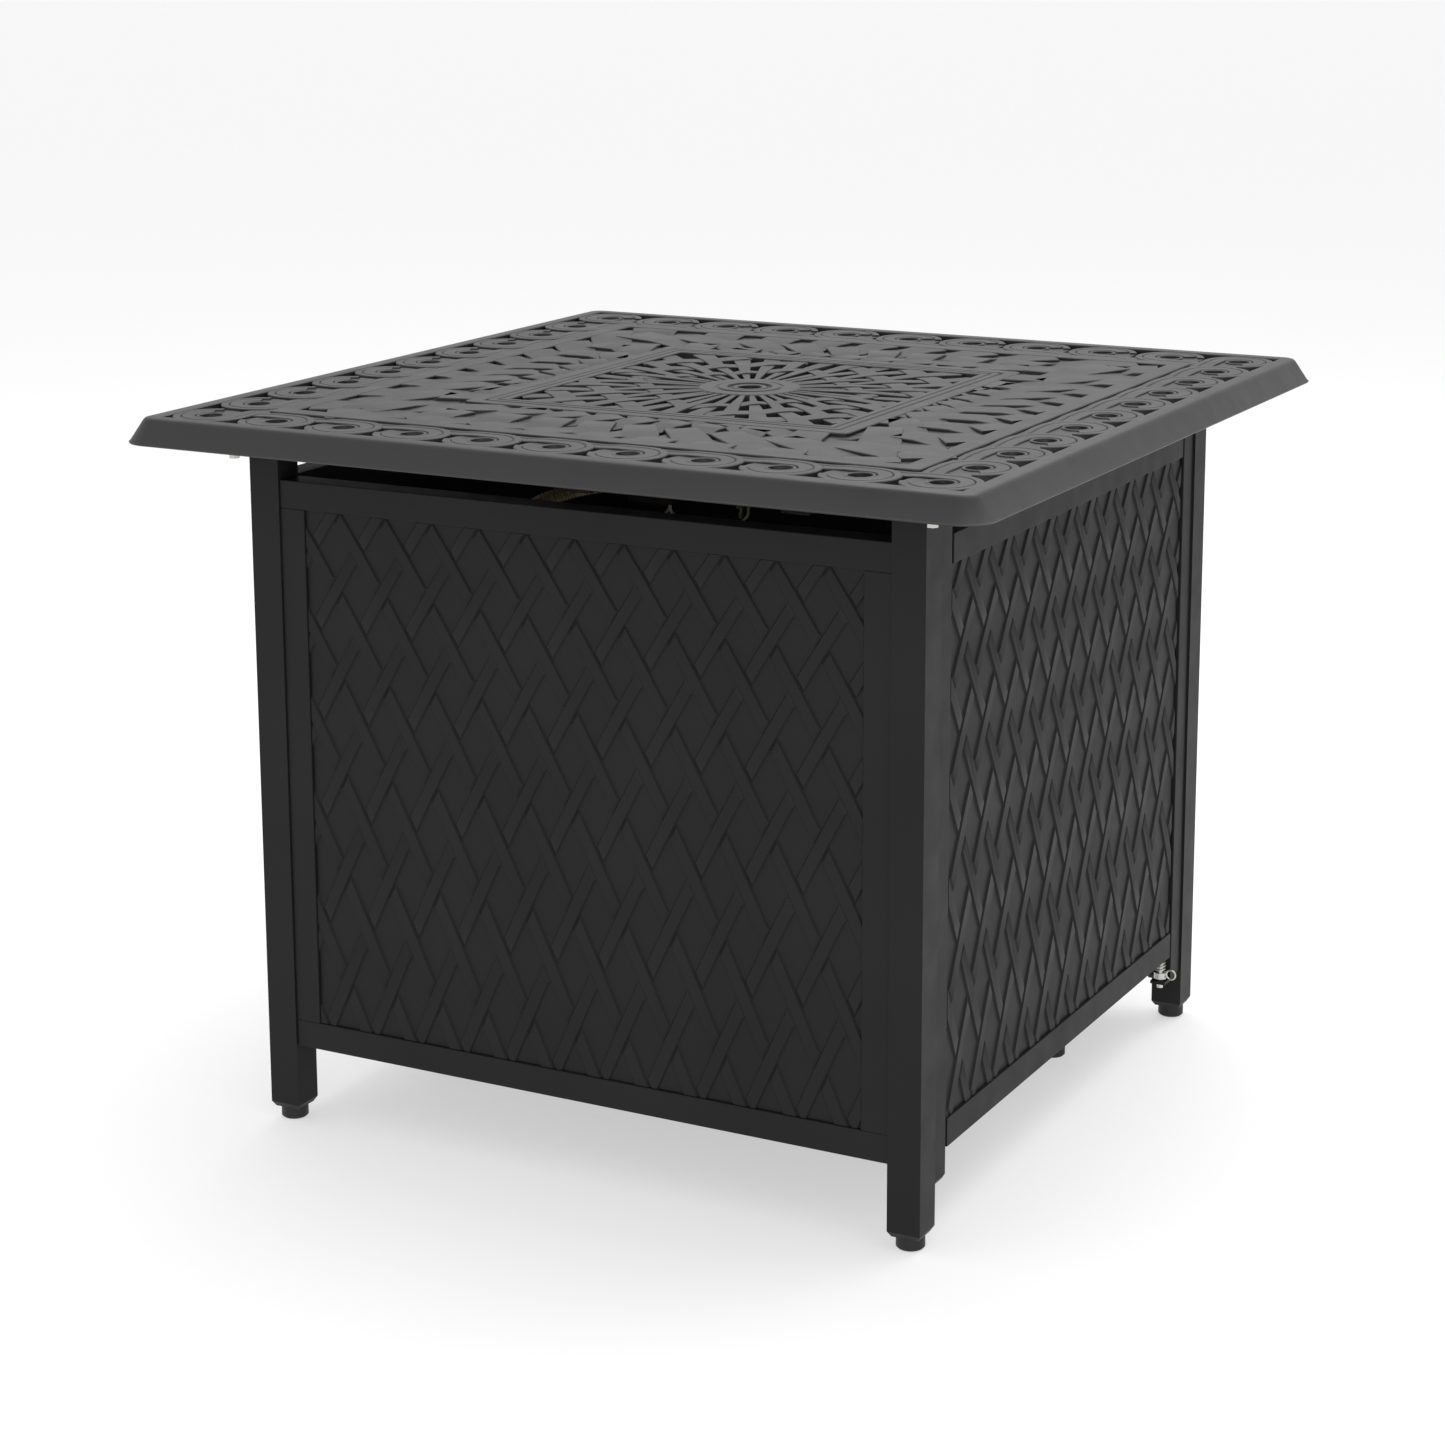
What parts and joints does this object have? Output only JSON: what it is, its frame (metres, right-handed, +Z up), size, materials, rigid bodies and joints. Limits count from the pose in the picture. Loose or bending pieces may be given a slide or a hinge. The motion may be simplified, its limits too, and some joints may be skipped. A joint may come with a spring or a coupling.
{
  "type": "gas fire pit table",
  "caption": "Square gas fire pit table: cast woven-pattern top with a lift-off grate over a ring burner, on a tube frame with embossed panels and a hinged door.",
  "frame": {"origin": "on the floor, under the middle of the square table top", "axes": "+Z up; -Y is the front; +X is the door side; -X is the control side"},
  "size_m": [0.813, 0.813, 0.654],
  "materials": {
    "cast_top": "fine textured powder coat over cast aluminium",
    "powder_coat": "satin powder coat over aluminium tube and sheet",
    "nylon": "moulded nylon",
    "zinc": "zinc plated",
    "pan_steel": "black high-temperature paint",
    "stainless": "brushed",
    "brass": "machined",
    "ceramic": "unglazed ceramic",
    "control_plate": "brushed stainless sheet",
    "knob": "moulded plastic",
    "gas_tube": "corrugated metal tube",
    "lead": "silicone sleeved lead"
  },
  "bodies": {
    "base": {"air_mixer": "brass", "back_bottom_rail": "powder_coat", "back_panel": "powder_coat", "back_stile_a": "powder_coat", "back_stile_b": "powder_coat", "back_top_rail": "powder_coat", "bottle_tray": "pan_steel", "burner_locknut": "brass", "burner_nipple": "brass", "burner_pan": "pan_steel", "control_plate": "control_plate", "door_lug_bottom": "powder_coat", "door_lug_top": "powder_coat", "door_magnet": "nylon", "door_post_hinge": "powder_coat", "door_post_latch": "powder_coat", "door_post_plugs": "nylon", "flame_sensor": "stainless", "front_bottom_rail": "powder_coat", "front_panel": "powder_coat", "front_stile_a": "powder_coat", "front_stile_b": "powder_coat", "front_top_rail": "powder_coat", "gas_flex": "gas_tube", "gas_valve": "brass", "igniter_barrel": "knob", "left_bottom_rail": "powder_coat", "left_panel": "powder_coat", "left_stile_a": "powder_coat", "left_stile_b": "powder_coat", "left_top_rail": "powder_coat", "leg_back_left": "powder_coat", "leg_back_right": "powder_coat", "leg_front_left": "powder_coat", "leg_front_right": "powder_coat", "leg_glides": "nylon", "leg_plugs": "nylon", "pan_rods": "zinc", "pan_straps": "pan_steel", "ring_burner": "stainless", "sensor_lead": "lead", "spark_electrode": "ceramic", "spark_lead": "lead", "spark_module": "nylon", "table_bolts": "zinc", "table_top": "cast_top", "tray_bearers": "powder_coat", "tray_feet": "nylon"},
    "door": {"door_bottom_rail": "powder_coat", "door_top_rail": "powder_coat", "door_panel": "powder_coat", "door_pin_top": "zinc", "door_strike": "zinc", "release_spring": "zinc"},
    "release_pin": {"door_release_pin": "zinc"},
    "lid": {"burner_lid": "cast_top"},
    "stem": {"valve_stem": "stainless"},
    "knob": {"control_knob": "knob"},
    "button": {"igniter_button": "knob"}
  },
  "joints": [
    {"name": "door_hinge", "type": "hinge", "parent": "base", "child": "door", "pos_m": [0.3165, 0.259, 0.335], "axis": [0, 0, 1], "range_deg": [0, 105]},
    {"name": "pin_release", "type": "slide", "parent": "base", "child": "release_pin", "axis": [0, 0, 1], "range_m": [0, 0.0085], "stiffness_N_per_m": 400, "springref_m": -0.006, "deforming": ["release_spring"]},
    {"name": "lid_lift", "type": "slide", "parent": "base", "child": "lid", "axis": [0, 0, 1], "range_m": [0, 0.15]},
    {"name": "knob_push", "type": "slide", "parent": "base", "child": "stem", "axis": [1, 0, 0], "range_m": [0, 0.005], "stiffness_N_per_m": 600, "springref_m": -0.004},
    {"name": "knob_turn", "type": "hinge", "parent": "stem", "child": "knob", "pos_m": [-0.34, -0.034, 0.505], "axis": [-1, 0, 0], "range_deg": [0, 180]},
    {"name": "button_press", "type": "slide", "parent": "base", "child": "button", "axis": [1, 0, 0], "range_m": [0, 0.004], "stiffness_N_per_m": 500, "springref_m": -0.003}
  ]
}
